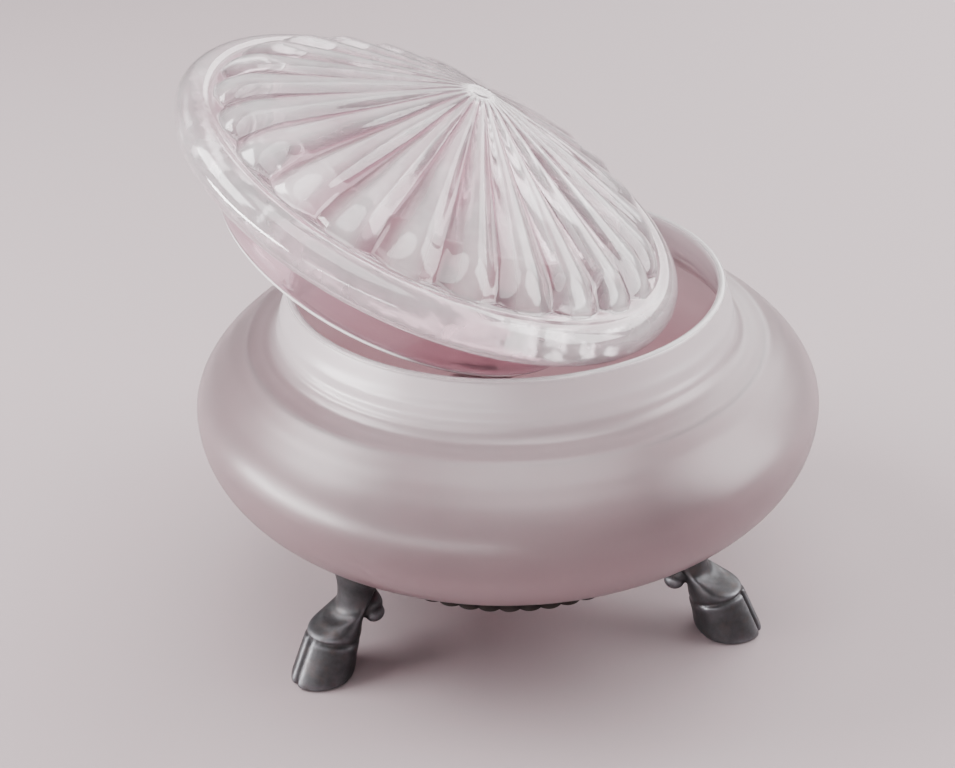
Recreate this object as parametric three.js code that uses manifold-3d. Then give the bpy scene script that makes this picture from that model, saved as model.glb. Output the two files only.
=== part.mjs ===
// A lidded powder jar: a frosted blown-glass bowl that stands in a cast metal ring on three
// cloven-hoof legs, with a clear pressed-glass lid lying askew in the bowl's mouth.
// Millimetres, +Z up, origin on the ground under the bowl's centre, front towards -Y.

import * as THREE from 'three';
import { mergeVertices } from 'three/addons/utils/BufferGeometryUtils.js';
import Module from 'manifold-3d';

const wasm = await Module();
wasm.setup();

// ---- driving dimensions ----------------------------------------------------------------
const GAP = 0.3;                 // clearance kept between pieces that touch
const EQUATOR_Z = 56;            // height of the bowl's widest circle
const BOWL_R = 70;               // radius there
const SHOULDER = { rise: 28.9, power: 1.84 };  // upper half of the bowl, a superellipse
const BELLY = { drop: 30.5, power: 2.27 };     // lower half
const WALL = 2.2;                // blown wall of the bowl's body
const FLOOR = 3.2;               // thicker at the bottom
const RIM_R = 48.3;              // outer radius of the mouth's rim
const RIM_Z = EQUATOR_Z + 27.6;
const RIM_WALL = 2;
const BOWL_SEGMENTS = 60;

const LID_R = 58;                // brim
const LID_BRIM = 9.2;            // brim thickness, its edge fully rounded
const LID_CROWN_R = 51;          // where the ribs end on the flat of the brim
const LID_STEP = 3.5;            // how far the ribs' ends stand up from the brim
const LID_APEX = 29.5;           // above the brim's underside
const LID_GLASS = 4.5;           // thickness of the crown
const FLANGE_R = 43.2;           // locating flange under the brim
const FLANGE_WALL = 3;
const FLANGE_DEPTH = 13.6;
const RIBS = 24;
const RIB_HEIGHT = 2;            // crest to valley
const LID_CENTRE = [-16.7, 3, EQUATOR_Z + 42.6];    // middle of the brim's underside
const LID_TILT = 25.3;           // degrees from upright
const LID_TILT_TOWARDS = -7.5;   // degrees from +X, the side that dips into the mouth

const RING_R = 39.5;             // outer radius of the stand's band
const RING_WALL = 2.4;
const RING_LOW = 20;             // lower edge of the band
const SEAT_R = 33.5;             // inner radius of the lip that carries the bowl
const LEG_ANGLES = { left_leg: -141, right_leg: -21, rear_leg: 99 };
const RIVET_R = 1.2;
const RIVET_HEAD_R = 2.4;
const RIVET_HEAD = 1.2;
const RIVET_Z = 23.6;
const RIVET_TIP_R = 44;          // how far out the rivet reaches inside the leg

// ---- colours ---------------------------------------------------------------------------
const FROSTED_GLASS = { color: 0xe2d2d4, roughness: 0.75, metalness: 0 };
const CLEAR_GLASS = { color: 0xf0e9ec, roughness: 0.08, metalness: 0 };
const CAST_METAL = { color: 0x6a6c6a, roughness: 0.45, metalness: 0.9 };
const RIVET_METAL = { color: 0x7c7a72, roughness: 0.35, metalness: 0.95 };

// ---- helpers ---------------------------------------------------------------------------
const radians = THREE.MathUtils.degToRad;

// A closed geometry as a manifold-3d solid.
function solid(geometry) {
  const bare = geometry.clone();
  bare.deleteAttribute('normal');
  bare.deleteAttribute('uv');
  const merged = mergeVertices(bare, 1e-4);
  return new wasm.Manifold(new wasm.Mesh({
    numProp: 3,
    vertProperties: merged.attributes.position.array,
    triVerts: merged.index.array,
  }));
}

// A manifold-3d solid as a geometry.
function geometryOf(manifold) {
  const mesh = manifold.getMesh();
  const geometry = new THREE.BufferGeometry();
  geometry.setAttribute('position', new THREE.BufferAttribute(mesh.vertProperties, 3));
  geometry.setIndex(new THREE.BufferAttribute(mesh.triVerts, 1));
  geometry.computeVertexNormals();
  return geometry;
}

function piece(name, geometry, finish) {
  const mesh = new THREE.Mesh(geometry, new THREE.MeshStandardMaterial(finish));
  mesh.name = name;
  return mesh;
}

// A solid of revolution about +Z from [radius, height] points, listed from the bottom of the
// outside round to the inside, on the axis at both ends or closed on itself.
function turned(points, segments) {
  const geometry = new THREE.LatheGeometry(points.map(([r, z]) => new THREE.Vector2(r, z)), segments);
  return geometry.rotateX(Math.PI / 2);
}

// Rings of points joined side by side and capped at both ends.
function skin(rings) {
  const count = rings[0].length;
  const position = rings.flat(2);
  const index = [];
  for (let ring = 0; ring + 1 < rings.length; ring += 1) {
    for (let i = 0; i < count; i += 1) {
      const a = ring * count + i;
      const b = ring * count + (i + 1) % count;
      index.push(a, b, b + count, a, b + count, a + count);
    }
  }
  const last = (rings.length - 1) * count;
  for (let i = 1; i + 1 < count; i += 1) {
    index.push(0, i + 1, i);
    index.push(last, last + i, last + i + 1);
  }
  const geometry = new THREE.BufferGeometry();
  geometry.setAttribute('position', new THREE.Float32BufferAttribute(position, 3));
  geometry.setIndex(index);
  return geometry;
}

// A limb through oval sections, each { x, z, tilt, depth, width }: a centre in the limb's
// middle plane, the section's slope there, and its half sizes along and across the plane.
function limb(sections, sides = 12) {
  const rings = sections.map(({ x, z, tilt = 0, depth, width }) => {
    const ring = [];
    for (let i = 0; i < sides; i += 1) {
      const angle = 2 * Math.PI * i / sides;
      const along = depth * Math.cos(angle);
      ring.push([
        x + along * Math.cos(radians(tilt)),
        width * Math.sin(angle),
        z + along * Math.sin(radians(tilt)),
      ]);
    }
    return ring;
  });
  return skin(rings);
}

// ---- bowl ------------------------------------------------------------------------------
// Half of a superellipse from the equator (0) to the axis (1), as [radius, height] points.
function bulge(radius, height, power, from, to, steps) {
  const points = [];
  for (let i = 0; i <= steps; i += 1) {
    const angle = (from + (to - from) * i / steps) * Math.PI / 2;
    const r = radius * Math.max(Math.cos(angle), 0) ** (2 / power);
    points.push([r < 1e-6 ? 0 : r, EQUATOR_Z + height * Math.sin(angle) ** (2 / power)]);
  }
  return points;
}

const NECK_AT = 0.364;           // where the shoulder ends and the neck begins, as for bulge()

function bowlOutside() {
  return [
    ...bulge(BOWL_R, -BELLY.drop, BELLY.power, 1, 0, 9).slice(0, -1),
    ...bulge(BOWL_R, SHOULDER.rise, SHOULDER.power, 0, NECK_AT, 5),
    [RIM_R + 6.2, RIM_Z - 12.3],
    [RIM_R + 4, RIM_Z - 11.8],
    [RIM_R + 2.5, RIM_Z - 9.3],
    [RIM_R + 1.3, RIM_Z - 6],
    [RIM_R, RIM_Z - 0.7],
  ];
}

function bowlInside() {
  const inner = BOWL_R - WALL;
  return [
    [RIM_R - RIM_WALL, RIM_Z - 0.7],
    [RIM_R - 0.9, RIM_Z - 6],
    [RIM_R + 0.6, RIM_Z - 10.4],
    [RIM_R + 3.2, RIM_Z - 13.8],
    ...bulge(inner, SHOULDER.rise - WALL, SHOULDER.power, NECK_AT, 0, 4),
    ...bulge(inner, FLOOR - BELLY.drop, BELLY.power, 0, 1, 8).slice(1),
  ];
}

function bowlGeometry() {
  const rim = [[RIM_R - 0.5, RIM_Z], [RIM_R - RIM_WALL + 0.5, RIM_Z]];
  return turned([...bowlOutside(), ...rim, ...bowlInside()], BOWL_SEGMENTS);
}

// The space the bowl's belly takes, with the clearance, cut from what stands under it.
function bellySpace() {
  const belly = bulge(BOWL_R, -BELLY.drop, BELLY.power, 1, 0, 9).map(([r, z]) => [r, z - GAP]);
  return solid(turned([...belly, [BOWL_R, EQUATOR_Z + 5], [0, EQUATOR_Z + 5]], BOWL_SEGMENTS));
}

// ---- lid -------------------------------------------------------------------------------
// Height of the crown over the brim's underside at a radius, between the ribs' valleys
// and crests (rib from 0 to 1).
function crown(r, rib) {
  const t = r / LID_CROWN_R;
  const cone = LID_APEX - (LID_APEX - LID_BRIM - LID_STEP) * t ** 1.12;
  const ribs = RIB_HEIGHT * Math.min(1, r / 22) * (rib - 0.5);
  return cone + ribs;
}

function lidGeometry() {
  const around = 2 * RIBS;
  const half = LID_BRIM / 2;
  const outside = [
    ...[4, 11, 19, 27, 35, 43].map((r) => ({ r, z: (rib) => crown(r, rib) })),
    { r: LID_CROWN_R - 2, z: (rib) => crown(LID_CROWN_R - 2, rib) - 1 },
    { r: LID_CROWN_R, z: () => LID_BRIM },
    { r: LID_R - half, z: () => LID_BRIM },
    { r: LID_R - 0.3 * half, z: () => 1.7 * half },
    { r: LID_R, z: () => half },
    { r: LID_R - 0.3 * half, z: () => 0.3 * half },
    { r: LID_R - half, z: () => 0 },
    { r: FLANGE_R, z: () => 0 },
    { r: FLANGE_R, z: () => 1 - FLANGE_DEPTH },
    { r: FLANGE_R - 1, z: () => -FLANGE_DEPTH },
  ];
  const inside = [
    { r: FLANGE_R - FLANGE_WALL + 1, z: () => -FLANGE_DEPTH },
    { r: FLANGE_R - FLANGE_WALL, z: () => 1 - FLANGE_DEPTH },
    { r: FLANGE_R - FLANGE_WALL, z: () => 0 },
    ...[38, 30, 20, 10, 3].map((r) => ({ r, z: () => crown(r, 0.5) - LID_GLASS })),
  ];
  const rings = [...outside, ...inside].reverse().map(({ r, z }) => {
    const ring = [];
    for (let i = 0; i < around; i += 1) {
      const angle = 2 * Math.PI * i / around;
      ring.push([r * Math.cos(angle), r * Math.sin(angle), z(i % 2)]);
    }
    return ring;
  });
  return skin(rings);
}

// ---- stand -----------------------------------------------------------------------------
// A bar along +X from one x to another at the rivets' height.
function radialBar(radius, from, to) {
  const bar = new THREE.CylinderGeometry(radius, radius, to - from, 16);
  bar.rotateZ(Math.PI / 2).translate((from + to) / 2, 0, RIVET_Z);
  return bar;
}

function ringGeometry() {
  const top = EQUATOR_Z;
  const inner = RING_R - RING_WALL;
  const lipLow = EQUATOR_Z - BELLY.drop + 0.4;
  const blank = solid(turned([
    [RING_R, RING_LOW], [RING_R, top], [SEAT_R, top], [SEAT_R, lipLow], [inner, lipLow + 0.6],
    [inner, RING_LOW], [RING_R, RING_LOW],
  ], BOWL_SEGMENTS));
  let ring = blank.subtract(bellySpace());
  for (const angle of Object.values(LEG_ANGLES)) {
    const hole = radialBar(RIVET_R + GAP, inner - 2, RING_R + 2).rotateZ(radians(angle));
    ring = ring.subtract(solid(hole));
  }
  return geometryOf(ring);
}

// One cloven-hoof leg, its toe towards +X, before it is turned to its place.
function legGeometry() {
  const shank = limb([
    { x: 50.8, z: 8.6, tilt: 12, depth: 5.3, width: 5.0 },
    { x: 50.9, z: 10.2, tilt: 10, depth: 6.1, width: 5.8 },
    { x: 50.5, z: 12.2, depth: 6.1, width: 5.7 },
    { x: 48.2, z: 14.4, tilt: -12, depth: 5.5, width: 5.1 },
    { x: 45.2, z: 16.8, tilt: -24, depth: 4.7, width: 4.6 },
    { x: 43.8, z: 20.4, tilt: -8, depth: 4.6, width: 4.9 },
    { x: 43.6, z: 24.5, depth: 4.9, width: 6.8 },
    { x: 43.6, z: 36.0, depth: 5.8, width: 8.8 },
  ]);
  const hoof = limb([
    { x: 53.9, z: 0, depth: 7.3, width: 6.2 },
    { x: 54.0, z: 1.6, depth: 7.6, width: 6.6 },
    { x: 52.9, z: 5.0, tilt: 4, depth: 7.1, width: 6.4 },
    { x: 51.6, z: 9.0, tilt: 14, depth: 6.6, width: 6.1 },
  ], 16);
  const cleft = limb([
    { x: 64.0, z: -1, depth: 5.0, width: 0.9 },
    { x: 60.2, z: 11.5, depth: 4.2, width: 0.5 },
  ], 8);
  const fetlock = new THREE.SphereGeometry(1, 12, 8);
  fetlock.scale(4.3, 4.6, 3.5).translate(42.6, 0, 14.8);
  let leg = solid(shank).add(solid(hoof)).subtract(solid(cleft)).add(solid(fetlock));
  for (const side of [-1, 1]) {
    const dewclaw = new THREE.SphereGeometry(1, 10, 7);
    dewclaw.scale(2.4, 2.0, 2.2).translate(42.1, side * 3.6, 13.2);
    leg = leg.add(solid(dewclaw));
  }
  const bandSpace = turned([
    [0, RING_LOW - GAP], [RING_R + GAP, RING_LOW - GAP], [RING_R + GAP, 50], [0, 50],
  ], BOWL_SEGMENTS);
  const rivetHole = radialBar(RIVET_R + GAP, RING_R - 2, RIVET_TIP_R + GAP);
  leg = leg.subtract(bellySpace()).subtract(solid(bandSpace)).subtract(solid(rivetHole));
  return geometryOf(leg);
}

// A round-headed rivet through the band into the leg, its head inside the ring.
function rivetGeometry() {
  const inner = RING_R - RING_WALL - GAP;
  const shaft = solid(radialBar(RIVET_R, inner - RIVET_HEAD / 2, RIVET_TIP_R));
  const head = new THREE.SphereGeometry(1, 12, 8);
  head.scale(RIVET_HEAD, RIVET_HEAD_R, RIVET_HEAD_R).translate(inner - RIVET_HEAD, 0, RIVET_Z);
  return geometryOf(shaft.add(solid(head)));
}

// ---- assembly --------------------------------------------------------------------------
const jar = new THREE.Group();

jar.add(piece('stand_ring', ringGeometry(), CAST_METAL));

for (const [name, angle] of Object.entries(LEG_ANGLES)) {
  const place = new THREE.Group();
  place.rotation.z = radians(angle);
  place.add(piece(name, legGeometry(), CAST_METAL));
  place.add(piece(name.replace('leg', 'rivet'), rivetGeometry(), RIVET_METAL));
  jar.add(place);
}

jar.add(piece('glass_bowl', bowlGeometry(), FROSTED_GLASS));

const lid = piece('glass_lid', lidGeometry(), CLEAR_GLASS);
const towards = radians(LID_TILT_TOWARDS);
const tiltAxis = new THREE.Vector3(-Math.sin(towards), Math.cos(towards), 0);
lid.quaternion.setFromAxisAngle(tiltAxis, radians(LID_TILT));
lid.position.set(...LID_CENTRE);
jar.add(lid);

export default jar;
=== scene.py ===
"""A frosted glass powder jar on a cast hoof-footed stand, its ribbed clear lid lying askew.

Shapes are worked out in millimetres in the CAD's frame, and new_mesh() turns them to metres.
"""

import math

import bmesh
import bpy
import numpy as np
from mathutils import Matrix, Vector


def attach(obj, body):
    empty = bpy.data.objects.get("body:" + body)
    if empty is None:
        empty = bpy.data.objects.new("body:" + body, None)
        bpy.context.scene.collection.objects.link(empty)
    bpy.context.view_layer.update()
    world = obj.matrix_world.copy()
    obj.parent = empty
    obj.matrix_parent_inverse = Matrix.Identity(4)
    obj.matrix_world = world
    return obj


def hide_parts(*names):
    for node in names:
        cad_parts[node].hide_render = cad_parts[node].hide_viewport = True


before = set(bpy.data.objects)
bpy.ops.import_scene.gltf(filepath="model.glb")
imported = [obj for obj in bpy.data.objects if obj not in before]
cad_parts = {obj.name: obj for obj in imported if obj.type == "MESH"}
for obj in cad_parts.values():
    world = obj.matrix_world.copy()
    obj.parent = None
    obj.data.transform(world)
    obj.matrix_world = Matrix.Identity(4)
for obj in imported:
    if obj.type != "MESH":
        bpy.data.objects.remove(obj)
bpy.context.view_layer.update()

MM = 0.001
GAP = 0.3  # between pieces that touch

# bowl, as in the CAD
EQUATOR_Z = 56.0
BOWL_R = 70.0
SHOULDER_RISE = 28.9
SHOULDER_POWER = 1.84
BELLY_DROP = 30.5
BELLY_POWER = 2.27
NECK_AT = 0.364
RIM_R = 48.3
RIM_Z = EQUATOR_Z + 27.6
RIM_WALL = 2.0
WALL = 2.2
FLOOR_WALL = 3.2

# the blown glass's unevenness: rings round the neck as (height out, z, half width), and
# ripples on the shoulder
NECK_RINGS = ((0.22, 77.5, 1.1), (-0.12, 75.2, 0.7), (-0.24, 73.0, 0.8))
RIPPLE_HEIGHT = 0.06
RIPPLE_PITCH = 4.8
RIPPLE_FROM_R = 56.0

# heights between which the bowl's glass turns darker and pinker as painted shade with a painted pink of
# a red ground seen through it, paler at the neck as painted light, and polished, with a painted
# highlight line at the rim
LOW_SHADE_Z = (63.0, 42.0)
NECK_Z = (70.0, 75.5)
POLISHED_HIGHLIGHT_Z = (RIM_Z - 0.6, RIM_Z - 0.3)

# lid, as in the CAD
LID_R = 58.0
LID_BRIM = 9.2
LID_CROWN_R = 51.0
LID_STEP = 3.5
LID_APEX = 29.5
LID_CONE_POWER = 1.12
LID_GLASS = 4.5
FLANGE_R = 43.2
FLANGE_WALL = 3.0
FLANGE_DEPTH = 13.6
RIBS = 24
RIB_HEIGHT = 2.0
LID_CENTRE = Vector((-16.7, 3.0, EQUATOR_Z + 42.6))
LID_TILT = math.radians(25.3)
LID_TILT_TOWARDS = math.radians(-7.5)

# how milky the lid's glass is, from 0, clear, to 1, and more on the flange's bright lip; the extra white
# on the rib crests and on the lip is a painted highlight
VALLEY_MILK = 0.25
CREST_HIGHLIGHT_MILK = 0.75
BRIM_TOP_MILK = 0.55
BRIM_EDGE_MILK = 0.75
LIP_HIGHLIGHT_MILK = 2.0
LIP_BACK_MILK = 0.2

# stand, as in the CAD
RING_R = 39.5
RING_WALL = 2.4
RING_LOW = 20.0
SEAT_R = 33.5
LEG_ANGLES = {"left": -141.0, "right": -21.0, "rear": 99.0}
RIVET_R = 1.2
RIVET_HEAD_R = 2.4
RIVET_HEAD = 1.2
RIVET_Z = 23.6
RIVET_TIP_R = 44.0

# the castings' finer shape, and how their wear is read from it
BEADS = 54
GROOVE_WIDTH = 0.6
LEG_VOXEL = 0.25
LEG_SMOOTHING = 9
WEAR_SMOOTHING = 10
WEAR_PERCENTILES = (25, 97)


# ---- mesh helpers ----------------------------------------------------------------------
def full_turn(count):
    """That many equally spaced angles round a circle."""
    return np.linspace(0, 2 * math.pi, count, endpoint=False)


def sawtooth(angle, count):
    """From 1 down to 0 and back to 1 in each of that many equal parts of a circle."""
    return np.abs(2 * ((angle * count / (2 * math.pi)) % 1) - 1)


def smoothstep(edge0, edge1, x):
    t = np.clip((np.asarray(x, float) - edge0) / (edge1 - edge0), 0, 1)
    return t * t * (3 - 2 * t)


def new_mesh(name, points, faces):
    """A smooth-shaded mesh object from points in millimetres."""
    mesh = bpy.data.meshes.new(name)
    mesh.from_pydata((np.asarray(points, float) * MM).tolist(), [], faces)
    mesh.update()
    obj = bpy.data.objects.new(name, mesh)
    bpy.context.scene.collection.objects.link(obj)
    bm = bmesh.new()
    bm.from_mesh(mesh)
    bmesh.ops.recalc_face_normals(bm, faces=bm.faces)
    bm.to_mesh(mesh)
    bm.free()
    mesh.shade_smooth()
    return obj


def grid_faces(rows, columns, wrap_rows):
    """Quads over rows of points that each close on themselves."""
    faces = []
    for row in range(rows if wrap_rows else rows - 1):
        a = row * columns
        b = (row + 1) % rows * columns
        for i in range(columns):
            j = (i + 1) % columns
            faces.append((a + i, a + j, b + j, b + i))
    return faces


def skin(name, rings, poles=True):
    """A closed surface over rings of points: with a pole at each end, or closed like a tyre."""
    rings = np.asarray(rings, float)
    rows, columns = rings.shape[:2]
    points = rings.reshape(-1, 3)
    faces = grid_faces(rows, columns, not poles)
    if poles:
        first = len(points)
        points = np.vstack([points, rings[0].mean(0), rings[-1].mean(0)])
        last_row = (rows - 1) * columns
        for i in range(columns):
            j = (i + 1) % columns
            faces.append((i, first, j))
            faces.append((last_row + i, last_row + j, first + 1))
    return new_mesh(name, points, faces)


def turned_rings(profile, segments):
    """Rings about +Z from (radius, height) points."""
    angle = full_turn(segments)
    profile = np.asarray(profile, float)
    rings = np.empty((len(profile), segments, 3))
    rings[:, :, 0] = profile[:, :1] * np.cos(angle)
    rings[:, :, 1] = profile[:, :1] * np.sin(angle)
    rings[:, :, 2] = profile[:, 1:]
    return rings


def through(points, steps):
    """A Catmull-Rom curve through rows of numbers, with that many steps between two rows."""
    p = np.asarray(points, float)
    padded = np.vstack([2 * p[0] - p[1], p, 2 * p[-1] - p[-2]])
    rows = []
    for i in range(len(p) - 1):
        a, b, c, d = padded[i:i + 4]
        for t in np.linspace(0, 1, steps, endpoint=False):
            rows.append(0.5 * (2 * b + (c - a) * t + (2 * a - 5 * b + 4 * c - d) * t ** 2
                               + (3 * b - a - 3 * c + d) * t ** 3))
    rows.append(p[-1])
    return np.array(rows)


def applied(obj):
    """Replaces the object's mesh by what its modifiers make of it."""
    evaluated = obj.evaluated_get(bpy.context.evaluated_depsgraph_get())
    mesh = bpy.data.meshes.new_from_object(evaluated)
    old = obj.data
    obj.modifiers.clear()
    obj.data = mesh
    bpy.data.meshes.remove(old)
    mesh.shade_smooth()


def mark_wear(obj):
    """Stores how far each point stands out from its neighbours: 0 in a hollow, 1 on an edge."""
    mesh = obj.data
    count = len(mesh.vertices)
    points = np.empty(count * 3)
    normals = np.empty(count * 3)
    ends = np.empty(len(mesh.edges) * 2, dtype=np.int32)
    mesh.vertices.foreach_get("co", points)
    mesh.vertices.foreach_get("normal", normals)
    mesh.edges.foreach_get("vertices", ends)
    a, b = ends.reshape(-1, 2).T
    neighbours = np.bincount(a, minlength=count) + np.bincount(b, minlength=count)
    neighbours = np.maximum(neighbours, 1)

    def around(values):
        total = np.bincount(a, values[b], count) + np.bincount(b, values[a], count)
        return total / neighbours

    points = points.reshape(-1, 3)
    middle = np.stack([around(points[:, axis]) for axis in range(3)], 1)
    stands_out = ((points - middle) * normals.reshape(-1, 3)).sum(1)
    for _ in range(WEAR_SMOOTHING):
        stands_out = 0.5 * stands_out + 0.5 * around(stands_out)
    low, high = np.percentile(stands_out, WEAR_PERCENTILES)
    worn = mesh.attributes.new("worn", "FLOAT", "POINT")
    worn.data.foreach_set("value", np.clip((stands_out - low) / (high - low), 0, 1))


# ---- materials -------------------------------------------------------------------------
def rgba(colour):
    """Four channels from a colour's three or from one grey."""
    return (*colour, 1) if isinstance(colour, tuple) else (colour, colour, colour, 1)


class Shader:
    """A node tree with a Principled shader, and short ways to add to it."""

    def __init__(self, name):
        self.material = bpy.data.materials.new(name)
        self.material.use_nodes = True
        self.tree = self.material.node_tree
        self.principled = self.tree.nodes["Principled BSDF"]
        self.place = self.tree.nodes.new("ShaderNodeTexCoord").outputs["Object"]

    def node(self, kind, inputs=None, **settings):
        made = self.tree.nodes.new(kind)
        for key, value in settings.items():
            setattr(made, key, value)
        for key, value in (inputs or {}).items():
            self.feed(made.inputs[key], value)
        return made

    def feed(self, socket, value):
        if isinstance(value, bpy.types.NodeSocket):
            self.tree.links.new(value, socket)
        else:
            socket.default_value = value

    def set(self, **values):
        for key, value in values.items():
            self.feed(self.principled.inputs[key.replace("_", " ")], value)

    def attribute(self, name):
        return self.node("ShaderNodeAttribute", attribute_name=name).outputs["Fac"]

    def noise(self, scale, detail, roughness=0.5):
        inputs = {"Vector": self.place, "Scale": scale, "Detail": detail, "Roughness": roughness}
        return self.node("ShaderNodeTexNoise", inputs).outputs["Fac"]

    def height_between(self, start, end):
        """From 0 at one height to 1 at the other, both in millimetres."""
        height = self.node("ShaderNodeSeparateXYZ", {"Vector": self.place}).outputs["Z"]
        inputs = {"Value": height, "From Min": start * MM, "From Max": end * MM}
        return self.node("ShaderNodeMapRange", inputs).outputs["Result"]

    def ramp(self, value, stops):
        """Colours or greys along a value: stops are (position, colour)."""
        made = self.node("ShaderNodeValToRGB", {"Fac": value})
        elements = made.color_ramp.elements
        while len(elements) < len(stops):
            elements.new(0.5)
        for element, (position, colour) in zip(elements, stops):
            element.position = position
            element.color = rgba(colour)
        return made.outputs["Color"]

    def mix(self, factor, a, b):
        """One colour or grey into another, each from a socket or as plain numbers."""
        made = self.node("ShaderNodeMix", data_type="RGBA")
        colour_a, colour_b, colour_out = 6, 7, 2
        self.feed(made.inputs[0], factor)
        for index, value in ((colour_a, a), (colour_b, b)):
            is_socket = isinstance(value, bpy.types.NodeSocket)
            self.feed(made.inputs[index], value if is_socket else rgba(value))
        return made.outputs[colour_out]

    def math(self, operation, a, b):
        return self.node("ShaderNodeMath", {0: a, 1: b}, operation=operation).outputs[0]

    def bump(self, height, strength, distance, normal=None):
        """Relief, its distance in metres, on top of another bump's normal."""
        inputs = {"Height": height, "Strength": strength, "Distance": distance}
        if normal:
            inputs["Normal"] = normal
        return self.node("ShaderNodeBump", inputs).outputs["Normal"]


def frosted_glass():
    """Acid-etched pinkish glass, its pink partly a painted view of a red ground through it: darker and
    pinker low down, where it is thick, as painted shade; paler at the neck as painted light; polished at
    the rim, with a painted highlight line.
    """
    s = Shader("frosted_glass")
    cloud = s.noise(28, 3)
    tint = s.ramp(cloud, [(0.3, (0.68, 0.56, 0.585)), (0.7, (0.77, 0.66, 0.68))])
    # darker and pinker low on the belly: painted shade, and a painted pink of a red ground seen through
    # the glass
    painted_shade_tint = s.ramp(cloud, [(0.3, (0.50, 0.325, 0.355)), (0.7, (0.59, 0.405, 0.43))])
    belly_colour = s.mix(s.height_between(*LOW_SHADE_Z), tint, painted_shade_tint)
    # a paler, whiter neck: painted light, with less transmission
    neck = s.height_between(*NECK_Z)
    matt_colour = s.mix(neck, belly_colour, (0.95, 0.88, 0.90))
    matt_roughness = s.ramp(cloud, [(0.3, 0.31), (0.7, 0.35)])
    matt_clearness = s.mix(neck, 0.84, 0.58)
    # the rim: polished, and whitened as a painted highlight line
    polished_highlight = s.height_between(*POLISHED_HIGHLIGHT_Z)
    s.set(Base_Color=s.mix(polished_highlight, matt_colour, (0.98, 0.95, 0.955)))
    s.set(Roughness=s.mix(polished_highlight, matt_roughness, 0.12))
    s.set(Transmission_Weight=s.mix(polished_highlight, matt_clearness, 0.5))
    s.set(IOR=1.5, Specular_IOR_Level=1.0)
    s.set(Coat_Weight=0.4, Coat_Roughness=0.36, Coat_IOR=1.6)
    flow = s.bump(s.noise(38, 2), 0.2, 0.0005)
    s.set(Normal=s.bump(s.noise(2600, 4, 0.7), 0.18, 0.00008, flow))
    return s.material


def clear_glass():
    """Pressed glass: milky where it is thick, on the brim, whiter on the rib crests and the flange's lip
    as painted highlights, and pink between, a painted view of a red ground through it.
    """
    s = Shader("clear_glass")
    cloud = s.math("MULTIPLY", s.noise(90, 3, 0.6), 0.7)
    share = s.math("MULTIPLY", s.math("ADD", s.attribute("milk_and_highlight"), cloud), 0.5)
    # pink at low values, a painted view of a red ground through the glass; white at high values, painted
    # highlight on crests and lip
    colours = [(0.22, (0.86, 0.64, 0.71)), (0.55, (1.0, 0.94, 0.955)), (0.9, (1.0, 1.0, 1.0))]
    clearness = [(0.2, 0.93), (0.6, 0.68), (0.85, 0.42), (1.0, 0.1)]
    s.set(Base_Color=s.ramp(share, colours), Transmission_Weight=s.ramp(share, clearness))
    s.set(Roughness=0.09, IOR=1.36, Specular_IOR_Level=0.95)
    s.set(Coat_Weight=0.8, Coat_Roughness=0.06, Coat_IOR=1.6)
    waves = s.bump(s.noise(70, 3, 0.6), 0.35, 0.0008)
    s.set(Normal=s.bump(s.noise(300, 4, 0.6), 0.13, 0.0003, waves))
    return s.material


def cast_metal(name, bright, dark, patina):
    """A grey white-metal casting, dark in its hollows and worn pale on its edges."""
    s = Shader(name)
    cloud = s.noise(220, 4, 0.6)
    stain = s.noise(420, 3, 0.6)
    grain = s.noise(2400, 3, 0.6)
    body = s.mix(s.ramp(s.attribute("worn"), [(0.0, 0.3), (0.9, 1.0)]), dark, bright)
    clouded = s.mix(s.ramp(cloud, [(0.35, 0.0), (0.7, 0.55)]), body, dark)
    colour = s.mix(s.ramp(stain, [(0.5, 0.0), (0.72, 0.5)]), clouded, patina)
    s.set(Base_Color=colour, Metallic=0.85)
    uneven = s.math("ADD", cloud, s.math("MULTIPLY", grain, 0.3))
    s.set(Roughness=s.ramp(uneven, [(0.4, 0.34), (0.9, 0.58)]))
    pitted = s.bump(cloud, 0.3, 0.0004)
    s.set(Normal=s.bump(grain, 0.15, 0.0001, pitted))
    return s.material


FROSTED = frosted_glass()
CLEAR = clear_glass()
METAL = cast_metal(
    "cast_metal", bright=(0.24, 0.24, 0.255), dark=(0.055, 0.053, 0.054), patina=(0.12, 0.095, 0.09))
# the band's metal, painted much darker as the shade under the bowl
SHADED_BAND_METAL = cast_metal(
    "shaded_band_metal", bright=(0.10, 0.09, 0.085), dark=(0.02, 0.017, 0.016), patina=(0.045, 0.03, 0.028))
RIVET_METAL = cast_metal(
    "rivet_metal", bright=(0.36, 0.35, 0.32), dark=(0.12, 0.115, 0.10), patina=(0.17, 0.16, 0.12))


def finish_piece(obj, material, body, slot, *nodes):
    obj.data.materials.clear()
    obj.data.materials.append(material)
    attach(obj, body)
    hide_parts(*nodes)


# ---- bowl ------------------------------------------------------------------------------
def bulge(height, power, start, end, steps):
    """Part of a superellipse from the equator (0) to the axis (1), as (radius, height) rows."""
    angle = np.linspace(start, end, steps + 1) * math.pi / 2
    r = BOWL_R * np.clip(np.cos(angle), 0, 1) ** (2 / power)
    return np.stack([r, EQUATOR_Z + height * np.sin(angle) ** (2 / power)], 1)


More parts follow.
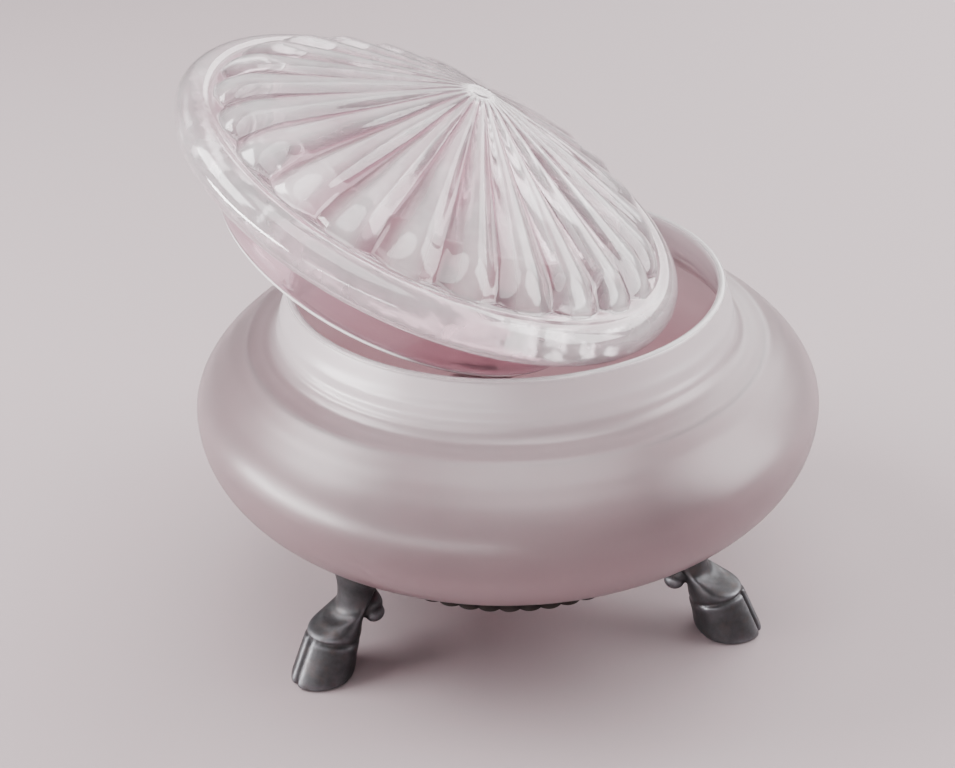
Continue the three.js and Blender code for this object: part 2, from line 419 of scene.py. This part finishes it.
def bowl_outline():
    """The bowl's outside from near the axis to just under the rim."""
    belly = bulge(-BELLY_DROP, BELLY_POWER, 0.999, 0, 70)
    shoulder = bulge(SHOULDER_RISE, SHOULDER_POWER, 0, NECK_AT, 36)
    steps = 8
    neck = through([
        shoulder[-3], shoulder[-1],
        (RIM_R + 6.2, RIM_Z - 12.3), (RIM_R + 4.0, RIM_Z - 11.8), (RIM_R + 2.5, RIM_Z - 9.3),
        (RIM_R + 1.3, RIM_Z - 6.0), (RIM_R, RIM_Z - 1.0),
    ], steps)
    outline = np.vstack([belly[:-1], shoulder[:-1], neck[steps + 1:]])
    radius, height = outline.T.copy()
    rings = sum(out * np.exp(-((height - z) / width) ** 2) for out, z, width in NECK_RINGS)
    outline[:, 0] += np.where(height > EQUATOR_Z, rings, 0)
    on_shoulder = smoothstep(54, 57, radius) * (1 - smoothstep(62, 67, radius)) * (height > EQUATOR_Z)
    ripples = np.sin(2 * math.pi * (radius - RIPPLE_FROM_R) / RIPPLE_PITCH)
    outline[:, 1] += RIPPLE_HEIGHT * on_shoulder * ripples
    return outline


def offset_inwards(outline, thickness):
    """The outline moved in by a thickness for each point, and kept just off the axis."""
    along = np.gradient(outline, axis=0)
    normal = np.stack([along[:, 1], -along[:, 0]], 1)
    normal /= np.linalg.norm(normal, axis=1)[:, None]
    inner = outline - normal * thickness[:, None]
    inner[:, 0] = np.maximum(inner[:, 0], 0.02)
    return inner


def make_bowl():
    outside = bowl_outline()
    depth = np.clip((EQUATOR_Z - outside[:, 1]) / BELLY_DROP, 0, 1)
    height = np.clip((outside[:, 1] - EQUATOR_Z) / (RIM_Z - EQUATOR_Z), 0, 1)
    thickness = WALL + (FLOOR_WALL - WALL) * depth ** 2 + (RIM_WALL - WALL) * height
    inside = offset_inwards(outside, thickness)
    middle = (outside[-1] + inside[-1]) / 2
    half = np.linalg.norm(outside[-1] - inside[-1]) / 2
    turn = np.linspace(0, math.pi, 9)[1:-1]
    rim = middle + half * np.stack([np.cos(turn), np.sin(turn)], 1)
    rings = turned_rings(np.vstack([outside, rim, inside[::-1]]), 256)
    bowl = skin("frosted_bowl", rings)
    finish_piece(bowl, FROSTED, "bowl", "frosted_glass", "glass_bowl")


# ---- lid -------------------------------------------------------------------------------
def crown_height(r):
    """The crown's crests over the brim's underside."""
    return LID_APEX - (LID_APEX - LID_BRIM - LID_STEP) * (r / LID_CROWN_R) ** LID_CONE_POWER


def lid_surface():
    """Rings from the crown over the brim and the flange into the hollow, and their milkiness, with
    painted highlights on the rib crests and the lip.
    """
    angle = full_turn(RIBS * 20)
    across = sawtooth(angle, RIBS)
    valley = 0.5 - 0.5 * np.cos(math.pi * across ** 1.35)
    rings = []
    milk_and_highlight = []

    def ring(r, z, milk_with_highlight=0.0):
        r = np.broadcast_to(r, angle.shape)
        z = np.broadcast_to(z, angle.shape)
        rings.append(np.stack([r * np.cos(angle), r * np.sin(angle), z], 1))
        milk_and_highlight.append(np.broadcast_to(milk_with_highlight, angle.shape))

    # crown: ribs that fade in from the blunt point and end in round scallops
    centre = np.linspace(0.4, 4, 8)
    ribbed = np.linspace(5, 44, 40)
    scallops = np.linspace(44.5, LID_CROWN_R, 24)
    for r in np.concatenate([centre, ribbed, scallops]):
        blunt = 1.1 * math.exp(-(r / 2.4) ** 2)
        relief = RIB_HEIGHT * float(smoothstep(1.5, 24, r)) * (0.6 + 0.4 * r / LID_CROWN_R)
        top = crown_height(r) - blunt - relief * valley
        to_end = np.clip((LID_CROWN_R - 1.9 * across ** 2.4 - r) / 6.5, 0, 1)
        rounding = (1 - (1 - to_end) ** 2) ** 0.6
        # milky, and whiter along the rib crests as a painted highlight
        milk_with_highlight = VALLEY_MILK + CREST_HIGHLIGHT_MILK * (1 - valley) ** 1.5
        ring(r, LID_BRIM + (top - LID_BRIM) * rounding, milk_with_highlight)

    # brim: a slightly dished top, a round edge and a flat underside
    half = LID_BRIM / 2
    for r in np.linspace(LID_CROWN_R + 0.5, LID_R - half, 5):
        dished = 0.25 * math.sin(math.pi * (r - LID_CROWN_R) / (LID_R - half - LID_CROWN_R))
        ring(r, LID_BRIM - dished, BRIM_TOP_MILK)
    for turn in np.linspace(84, -84, 29):
        bend = math.radians(turn)
        ring(LID_R - half + half * math.cos(bend), half + half * math.sin(bend), BRIM_EDGE_MILK)
    for r in np.linspace(LID_R - half, FLANGE_R + 1.2, 5):
        ring(r, 0)

    # flange: its outside, its round lip, and its inside
    draft = 0.35
    lip = FLANGE_WALL / 2 - 0.1
    lip_z = lip - FLANGE_DEPTH
    for z in np.linspace(-1.0, lip_z, 8):
        ring(FLANGE_R - draft * -z / FLANGE_DEPTH, z)
    for turn in np.linspace(0, 180, 13)[1:-1]:
        bend = math.radians(turn)
        r = FLANGE_R - draft - lip - 0.1 + lip * math.cos(bend)
        # the lip's front painted white as a highlight line
        ring(r, lip_z - lip * math.sin(bend), LIP_HIGHLIGHT_MILK if turn < 70 else LIP_BACK_MILK)
    for z in np.linspace(lip_z, -0.5, 8):
        ring(FLANGE_R - FLANGE_WALL + draft * (z / FLANGE_DEPTH + 0.5), z)

    # hollow under the crown
    for r in np.concatenate([np.linspace(FLANGE_R - FLANGE_WALL - 1.0, 3, 26), [1.5, 0.4]]):
        glass = LID_GLASS * (0.9 + 0.1 * r / LID_CROWN_R)
        ring(r, crown_height(r) - RIB_HEIGHT / 2 - glass)
    return rings, np.concatenate(milk_and_highlight)


def make_lid():
    rings, milk_and_highlight = lid_surface()
    lid = skin("ribbed_lid", rings)
    crown_pole, hollow_pole = 1.0, 0.0
    milk_highlight_layer = lid.data.attributes.new("milk_and_highlight", "FLOAT", "POINT")
    milk_highlight_layer.data.foreach_set("value", np.append(milk_and_highlight, [crown_pole, hollow_pole]))
    towards = Vector((math.cos(LID_TILT_TOWARDS), math.sin(LID_TILT_TOWARDS), 0))
    axis = Vector((0, 0, 1)).cross(towards)
    lid.data.transform(Matrix.Translation(LID_CENTRE * MM) @ Matrix.Rotation(LID_TILT, 4, axis))
    finish_piece(lid, CLEAR, "lid", "clear_glass", "glass_lid")


# ---- stand -----------------------------------------------------------------------------
def belly_height(r):
    """Height of the bowl's underside at a radius."""
    cosine = (r / BOWL_R) ** (BELLY_POWER / 2)
    return EQUATOR_Z - BELLY_DROP * (1 - cosine ** 2) ** (1 / BELLY_POWER)


def make_ring():
    """The band, with a lip that carries the bowl and a row of beads on its lower edge."""
    inner = RING_R - RING_WALL
    lip_low = EQUATOR_Z - BELLY_DROP + 0.4
    wall_top = belly_height(RING_R) - GAP - 0.4
    outline = [(RING_R, z) for z in np.linspace(RING_LOW + 0.8, wall_top, 22)]
    outline += [(r, belly_height(r) - GAP - 0.05) for r in np.linspace(RING_R - 0.4, SEAT_R + 0.4, 10)]
    outline += [(SEAT_R, belly_height(SEAT_R) - GAP - 0.4)]
    outline += [(SEAT_R, lip_low + 0.4), (SEAT_R + 0.4, lip_low)]
    outline += [(r, lip_low + 0.3) for r in np.linspace(SEAT_R + 1.2, inner - 0.8, 4)]
    outline += [(inner, z) for z in np.linspace(lip_low - 0.4, RING_LOW + 0.6, 12)]
    outline += [(inner + 0.6, RING_LOW), (RING_R - 0.8, RING_LOW)]
    segments = BEADS * 12
    rings = turned_rings(outline, segments)
    bead = 1 - sawtooth(full_turn(segments), BEADS) ** 2.2
    for row in rings:
        radius = np.linalg.norm(row[0, :2])
        z = float(row[0, 2])
        outside = float(smoothstep(inner + 0.9, RING_R, radius))
        on_beads = outside * (1 - float(smoothstep(RING_LOW + 2.0, RING_LOW + 3.4, z)))
        stretch = 1 + on_beads * (0.7 * bead - 0.45) / radius
        row[:, :2] *= stretch[:, None]
        at_edge = 1 - float(smoothstep(RING_LOW, RING_LOW + 1.5, z))
        row[:, 2] += at_edge * (0.75 - 0.5 * bead)
    band = skin("beaded_band", rings, poles=False)
    mark_wear(band)
    finish_piece(band, SHADED_BAND_METAL, "stand", "cast_metal", "stand_ring")


def limb(name, sections, sides=40, taper=0.0, heel=0.0, groove=0.0):
    """A closed limb through oval sections of (x, z, tilt in degrees, depth, width).

    It can narrow at the toe and at the heel, and have a groove down the front.
    """
    angle = full_turn(sides)
    toe_narrowing = 1 - taper * np.clip(np.cos(angle), 0, 1) ** 2
    heel_narrowing = 1 - heel * np.clip(-np.cos(angle), 0, 1) ** 2
    rings = []
    for x, z, tilt, depth, width in through(sections, 6):
        slope = math.radians(tilt)
        across = width * np.sin(angle) * toe_narrowing * heel_narrowing
        dip = groove * np.exp(-(across / GROOVE_WIDTH) ** 2) * (np.cos(angle) > 0)
        along = depth * np.cos(angle) - dip
        rings.append(np.stack([x + along * math.cos(slope), across, z + along * math.sin(slope)], 1))
    return skin(name, rings)


def ball(name, centre, radii):
    angle = full_turn(28)
    rings = []
    for rise in np.linspace(-84, 84, 15):
        flat = math.cos(math.radians(rise))
        height = np.full(angle.shape, math.sin(math.radians(rise)))
        rings.append(np.stack([flat * np.cos(angle), flat * np.sin(angle), height], 1))
    obj = skin(name, rings)
    obj.data.transform(Matrix.Translation(Vector(centre) * MM) @ Matrix.Diagonal((*radii, 1)))
    return obj


def joined(objects):
    """One object holding all their meshes."""
    bm = bmesh.new()
    for obj in objects:
        bm.from_mesh(obj.data)
    keep = objects[0]
    bm.to_mesh(keep.data)
    bm.free()
    for obj in objects[1:]:
        bpy.data.objects.remove(obj)
    return keep


def keep_out():
    """The space that the bowl and the band take up, with a little room round them."""
    outside = RING_R + GAP
    belly = [(r, belly_height(r) - GAP - 0.05) for r in np.linspace(28, 66, 30)]
    profile = [(outside, RING_LOW - 6), (outside, belly[9][1])]
    profile += [point for point in belly if point[0] > RING_R + 1]
    profile += [(66, 60), (20, 60), (20, RING_LOW - 1.6)]
    return skin("space", turned_rings(profile, 180), poles=False)


def leg_shape():
    """One cloven-hoof leg with its toe towards +X, cut clear of the bowl and the band."""
    parts = [
        limb("shank", [
            (50.8, 8.0, 12, 5.2, 5.0), (50.9, 10.2, 10, 6.1, 5.8), (50.5, 12.2, 0, 6.2, 5.8),
            (48.2, 14.4, -12, 5.5, 5.1), (45.2, 16.8, -24, 4.7, 4.6), (43.8, 20.4, -8, 4.6, 4.9),
            (43.6, 24.5, 0, 4.9, 6.9), (43.6, 30.0, 0, 5.4, 8.4), (43.6, 36.0, 0, 5.8, 8.9),
        ]),
        limb("hoof", [
            (54.1, 0.0, 0, 7.3, 6.2), (54.4, 1.2, 0, 8.0, 6.8), (53.2, 4.8, 4, 7.4, 6.55),
            (51.7, 8.4, 13, 6.8, 6.35), (51.5, 9.3, 15, 6.5, 6.15), (51.4, 9.9, 15, 5.4, 5.1),
        ], sides=160, taper=0.12, heel=0.3, groove=1.2),
        ball("fetlock", (42.6, 0, 14.8), (4.3, 4.6, 3.5)),
    ]
    for side in (-1, 1):
        parts.append(ball("dewclaw", (42.1, side * 3.6, 13.2), (2.4, 1.9, 2.1)))
    leg = joined(parts)
    remesh = leg.modifiers.new("remesh", "REMESH")
    remesh.mode = "VOXEL"
    remesh.voxel_size = LEG_VOXEL * MM
    smooth = leg.modifiers.new("smooth", "SMOOTH")
    smooth.factor = 0.5
    smooth.iterations = LEG_SMOOTHING
    applied(leg)
    space = keep_out()
    cut = leg.modifiers.new("cut", "BOOLEAN")
    cut.operation = "DIFFERENCE"
    cut.solver = "EXACT"
    cut.object = space
    applied(leg)
    bpy.data.objects.remove(space)
    return leg


def make_legs():
    pattern = leg_shape()
    mark_wear(pattern)
    for side, angle in LEG_ANGLES.items():
        leg = pattern.copy()
        leg.data = pattern.data.copy()
        leg.name = f"{side}_hoof_leg"
        bpy.context.scene.collection.objects.link(leg)
        leg.data.transform(Matrix.Rotation(math.radians(angle), 4, "Z"))
        finish_piece(leg, METAL, "stand", "cast_metal", f"{side}_leg")
    bpy.data.objects.remove(pattern)


def make_rivets():
    """One for each leg, its domed head inside the band."""
    face = RING_R - RING_WALL - GAP
    length = RIVET_TIP_R - face
    outline = [(RIVET_HEAD_R * math.sin(a), -RIVET_HEAD * (0.15 + 0.85 * math.cos(a)))
               for a in np.linspace(0.03, math.pi / 2, 12)]
    outline += [(RIVET_HEAD_R, -0.05), (RIVET_HEAD_R - 0.1, 0.0), (RIVET_R + 0.1, 0.0)]
    outline += [(RIVET_R, 0.1), (RIVET_R, length - 0.3), (RIVET_R - 0.3, length), (0.1, length)]
    for side, angle in LEG_ANGLES.items():
        rivet = skin(f"{side}_rivet_set", turned_rings(outline, 48))
        spot = Matrix.Translation(Vector((face, 0, RIVET_Z)) * MM) @ Matrix.Rotation(math.pi / 2, 4, "Y")
        rivet.data.transform(Matrix.Rotation(math.radians(angle), 4, "Z") @ spot)
        mark_wear(rivet)
        finish_piece(rivet, RIVET_METAL, "stand", "rivet_metal", f"{side}_rivet")


# ---- room, in metres -------------------------------------------------------------------
JAR_MIDDLE = (0, 0, 0.07)

# name, place, size and watts
WINDOWS = (
    ("key", (-0.56, 0.0, 0.60), (0.45, 0.36), 5.0),
    ("left_window", (-0.95, -0.25, 0.12), (0.8, 0.12), 9.0),
    ("front_window", (-0.40, -0.95, 0.13), (0.8, 0.08), 2.0),
    ("right_window", (0.80, 0.0, 0.42), (0.5, 0.65), 5.5),
    ("right_sky", (0.52, 0.62, 0.52), (0.9, 0.55), 5.0),
)


def make_floor():
    half = 4 / MM
    corners = [(-half, -half, 0), (half, -half, 0), (half, half, 0), (-half, half, 0)]
    floor = new_mesh("floor", corners, [(0, 1, 2, 3)])
    s = Shader("floor")
    s.set(Base_Color=rgba((0.46, 0.39, 0.404)), Roughness=0.75)
    floor.data.materials.append(s.material)


def facing(obj, target):
    """The turn that points the object's -Z at the target, with its +Y up."""
    return (Vector(target) - obj.location).to_track_quat("-Z", "Y")


def placed(light, place):
    """An object for the light, turned to the jar."""
    obj = bpy.data.objects.new(light.name, light)
    obj.location = place
    obj.rotation_euler = facing(obj, JAR_MIDDLE).to_euler()
    bpy.context.scene.collection.objects.link(obj)
    return obj


def make_lights():
    for name, place, size, watts in WINDOWS:
        light = bpy.data.lights.new(name, "AREA")
        light.shape = "RECTANGLE"
        light.size, light.size_y = size
        light.energy = watts
        placed(light, place).visible_camera = False
    sun = bpy.data.lights.new("skylight", "SUN")
    sun.energy = 1.9
    sun.angle = math.radians(50)
    placed(sun, (0.1, -0.2, 1.2))


def make_world():
    scene = bpy.context.scene
    world = bpy.data.worlds.new("studio")
    world.use_nodes = True
    background = world.node_tree.nodes["Background"]
    background.inputs["Color"].default_value = (0.86, 0.84, 0.85, 1)
    background.inputs["Strength"].default_value = 0.26
    scene.world = world
    scene.view_settings.look = "AgX - Medium High Contrast"
    scene.cycles.sample_clamp_indirect = 4.0
    scene.cycles.max_bounces = 28
    scene.cycles.glossy_bounces = 16
    scene.cycles.transmission_bounces = 24


def make_camera():
    """In front of the jar, looking down on it, and rolled a little."""
    camera = bpy.data.cameras.new("camera")
    camera.sensor_width = 36
    camera.lens = 60.3
    camera.clip_start = 0.01
    obj = bpy.data.objects.new("camera", camera)
    obj.location = (0, -0.3178, 0.2358)
    look = facing(obj, (-0.00665, 0, 0.0555)).to_matrix()
    roll = Matrix.Rotation(math.radians(-1.4), 3, "Z")
    obj.rotation_euler = (look @ roll).to_euler()
    bpy.context.scene.collection.objects.link(obj)
    bpy.context.scene.camera = obj


make_bowl()
make_lid()
make_ring()
make_legs()
make_rivets()
make_floor()
make_lights()
make_world()
make_camera()
